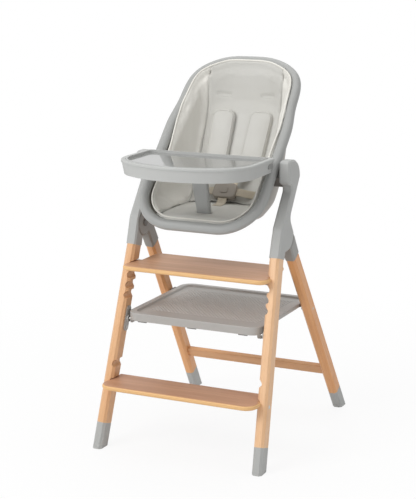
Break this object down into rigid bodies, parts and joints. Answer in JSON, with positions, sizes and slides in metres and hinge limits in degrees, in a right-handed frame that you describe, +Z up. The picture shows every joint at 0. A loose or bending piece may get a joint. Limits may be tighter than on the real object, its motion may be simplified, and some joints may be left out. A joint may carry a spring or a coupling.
{
  "type": "baby high chair",
  "caption": "Folding baby high chair with splayed wooden legs, a reclining padded bucket seat with harness and tray, a footrest, a standing platform and a climbing step.",
  "frame": {"origin": "middle of the bounding box, on the floor", "axes": "+X to the right as seen from the front, +Y to the back, +Z up; the chair faces -Y"},
  "size_m": [0.4706, 0.6431, 0.9711],
  "materials": {
    "beech": "satin lacquer",
    "plywood": "satin lacquer",
    "grey_plastic": "fine matte",
    "dark_plastic": "matte",
    "platform_plastic": "fine matte",
    "shell_plastic": "fine matte",
    "leatherette": "soft matte",
    "webbing": "woven",
    "buckle_plastic": "matte",
    "steel": "zinc plated",
    "tray_gloss": "gloss"
  },
  "bodies": {
    "front_frame": {"front_leg_left": "beech", "front_leg_right": "beech", "front_boot_left": "grey_plastic", "front_boot_right": "grey_plastic", "side_hub_left": "grey_plastic", "side_hub_right": "grey_plastic", "fold_pins": "steel", "step_board": "plywood", "step_brackets": "grey_plastic", "step_bolts": "steel", "platform_hinge_left": "dark_plastic", "platform_hinge_right": "dark_plastic", "platform_pins": "steel", "hinge_screws": "steel"},
    "rear_frame": {"rear_leg_left": "beech", "rear_leg_right": "beech", "rear_boot_left": "grey_plastic", "rear_boot_right": "grey_plastic", "rear_socket_left": "grey_plastic", "rear_socket_right": "grey_plastic", "crossbar": "beech", "platform_studs": "steel"},
    "fold_button_left": {"fold_button_left": "dark_plastic"},
    "fold_button_right": {"fold_button_right": "dark_plastic"},
    "footrest": {"footrest_board": "plywood", "footrest_brackets": "grey_plastic"},
    "platform": {"platform": "platform_plastic", "platform_hooks": "dark_plastic", "platform_tabs": "dark_plastic"},
    "seat": {"seat_rim": "grey_plastic", "seat_shell": "shell_plastic", "seat_lug_left": "dark_plastic", "seat_lug_right": "dark_plastic", "crotch_post": "grey_plastic", "seat_pad": "leatherette", "back_pad": "leatherette", "side_pad_left": "leatherette", "side_pad_right": "leatherette", "shoulder_pad_left": "leatherette", "shoulder_pad_right": "leatherette", "shoulder_strap_left": "webbing", "shoulder_strap_right": "webbing", "buckle_body": "buckle_plastic", "buckle_tongues": "buckle_plastic", "crotch_strap": "webbing", "recline_housing": "dark_plastic", "tray_arm_left": "grey_plastic", "tray_arm_right": "grey_plastic"},
    "buckle_button": {"buckle_button": "buckle_plastic"},
    "recline_handle": {"recline_handle": "dark_plastic"},
    "tray": {"tray": "grey_plastic"},
    "tray_liner": {"tray_liner": "tray_gloss"},
    "tray_button_left": {"tray_button_left": "dark_plastic"},
    "tray_button_right": {"tray_button_right": "dark_plastic"}
  },
  "joints": [
    {"name": "frame_fold", "type": "hinge", "parent": "front_frame", "child": "rear_frame", "pos_m": [0, -0.07965, 0.55609], "axis": [-1, 0, 0], "range_deg": [0, 46]},
    {"name": "fold_button_left_press", "type": "slide", "parent": "rear_frame", "child": "fold_button_left", "axis": [-1, 0, 0], "range_m": [0, 0.0025], "stiffness_N_per_m": 400},
    {"name": "fold_button_right_press", "type": "slide", "parent": "rear_frame", "child": "fold_button_right", "axis": [1, 0, 0], "range_m": [0, 0.0025], "stiffness_N_per_m": 400},
    {"name": "footrest_draw", "type": "slide", "parent": "front_frame", "child": "footrest", "axis": [0, -1, 0], "range_m": [0, 0.1]},
    {"name": "platform_lift", "type": "hinge", "parent": "front_frame", "child": "platform", "pos_m": [0, -0.16954, 0.31999], "axis": [1, 0, 0], "range_deg": [0, 30]},
    {"name": "seat_recline", "type": "hinge", "parent": "front_frame", "child": "seat", "pos_m": [0, -0.02455, 0.70299], "axis": [-1, 0, 0], "range_deg": [0, 20]},
    {"name": "buckle_button_press", "type": "slide", "parent": "seat", "child": "buckle_button", "axis": [0, 0.766, -0.6428], "range_m": [0, 0.002], "stiffness_N_per_m": 400},
    {"name": "recline_handle_pull", "type": "slide", "parent": "seat", "child": "recline_handle", "axis": [0, 0.4149, 0.9098], "range_m": [0, 0.008], "stiffness_N_per_m": 500},
    {"name": "tray_slide", "type": "slide", "parent": "seat", "child": "tray", "axis": [0, -1, 0], "range_m": [0, 0.05]},
    {"name": "tray_liner_lift", "type": "slide", "parent": "tray", "child": "tray_liner", "axis": [0, 0, 1], "range_m": [0, 0.06]},
    {"name": "tray_button_left_press", "type": "slide", "parent": "tray", "child": "tray_button_left", "axis": [1, 0, 0], "range_m": [0, 0.003], "stiffness_N_per_m": 400},
    {"name": "tray_button_right_press", "type": "slide", "parent": "tray", "child": "tray_button_right", "axis": [-1, 0, 0], "range_m": [0, 0.003], "stiffness_N_per_m": 400}
  ]
}
